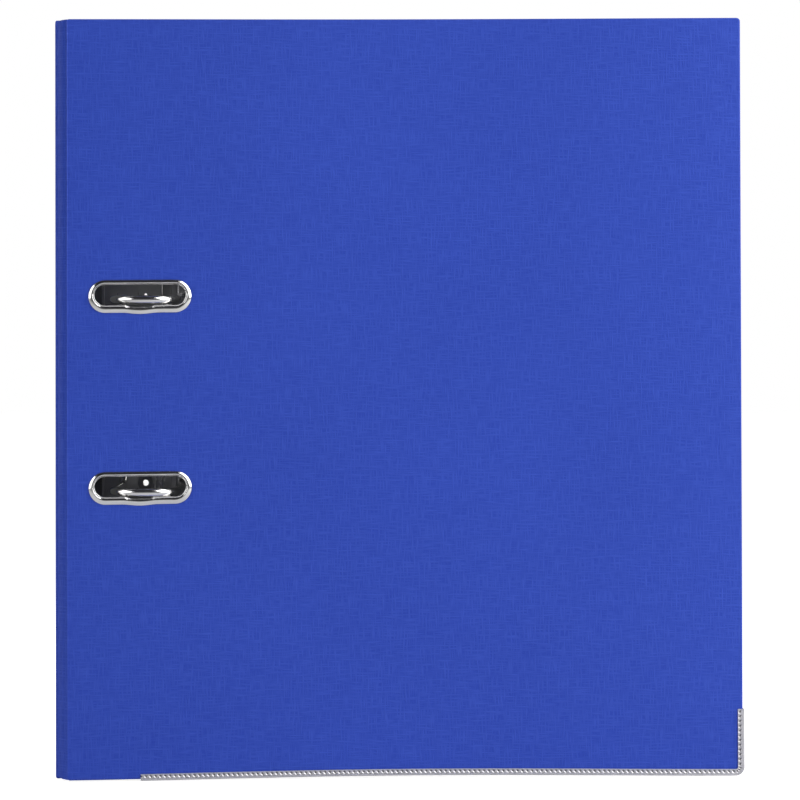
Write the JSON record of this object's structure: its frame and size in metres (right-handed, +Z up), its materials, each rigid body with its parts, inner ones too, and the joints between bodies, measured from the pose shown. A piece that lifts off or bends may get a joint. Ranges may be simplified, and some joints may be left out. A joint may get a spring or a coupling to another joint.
{
  "type": "lever arch file",
  "caption": "A4 lever arch file with hinged covers and spine, lever-operated arches, paper compressor, slotted front cover and steel-railed edges.",
  "frame": {"origin": "middle of the standing file's footprint, on the surface that it stands on", "axes": "+Z up the spine, +X from the spine to the covers' free edges, -Y out of the front cover, in metres"},
  "size_m": [0.2869, 0.076, 0.318],
  "materials": {
    "cover_foil": "satin",
    "lining_paper": "matte",
    "rail_steel": "satin",
    "nickel": "polished",
    "spring_steel": "satin",
    "roller_plastic": "satin",
    "label_film": "gloss",
    "label_card": "matte"
  },
  "bodies": {
    "back_cover": {"back_cover_panel": "cover_foil", "back_cover_lining": "lining_paper", "back_edge_rail": "rail_steel", "base_plate": "nickel", "post_upper": "nickel", "post_lower": "nickel", "lever_pivot_pin": "spring_steel", "arch_spring": "spring_steel", "mechanism_rivet_1": "spring_steel", "mechanism_rivet_2": "spring_steel", "mechanism_rivet_3": "spring_steel", "mechanism_rivet_4": "spring_steel"},
    "spine": {"spine_panel": "cover_foil", "spine_lining": "lining_paper", "finger_ring": "nickel", "label_pocket": "label_film", "label_card": "label_card", "back_hinge_foil": "cover_foil", "front_hinge_foil": "cover_foil"},
    "front_cover": {"front_cover_panel": "cover_foil", "front_cover_lining": "lining_paper", "front_edge_rail": "rail_steel", "slot_eyelet_upper": "nickel", "slot_eyelet_lower": "nickel"},
    "arches": {"arch_yoke": "nickel"},
    "lever": {"lever_arm": "nickel", "roller_pin": "spring_steel"},
    "roller": {"lever_roller": "roller_plastic"},
    "compressor": {"compressor_bar": "nickel", "compressor_spring": "spring_steel"}
  },
  "joints": [
    {"name": "spine_hinge", "type": "hinge", "parent": "back_cover", "child": "spine", "pos_m": [-0.1418, 0.0363, 0.16], "axis": [0, 0, -1], "range_deg": [0, 90]},
    {"name": "front_hinge", "type": "hinge", "parent": "spine", "child": "front_cover", "pos_m": [-0.1418, -0.0363, 0.16], "axis": [0, 0, -1], "range_deg": [0, 180]},
    {"name": "arch_swing", "type": "hinge", "parent": "back_cover", "child": "arches", "pos_m": [-0.1195, 0.0297, 0.1608], "axis": [0, 0, -1], "range_deg": [0, 72]},
    {"name": "lever_lift", "type": "hinge", "parent": "back_cover", "child": "lever", "pos_m": [-0.107, 0.0237, 0.1368], "axis": [1, 0, 0], "range_deg": [0, 95]},
    {"name": "roller_spin", "type": "hinge", "parent": "lever", "child": "roller", "pos_m": [-0.107, 0.0225, 0.1628], "axis": [1, 0, 0], "continuous": true},
    {"name": "compressor_slide", "type": "slide", "parent": "back_cover", "child": "compressor", "axis": [0, -1, 0], "range_m": [0, 0.046]}
  ],
  "couplings": [
    {"joint": "arch_swing", "follows": "spine_hinge", "ratio": 0.8},
    {"joint": "lever_lift", "follows": "spine_hinge", "ratio": 1.05}
  ]
}
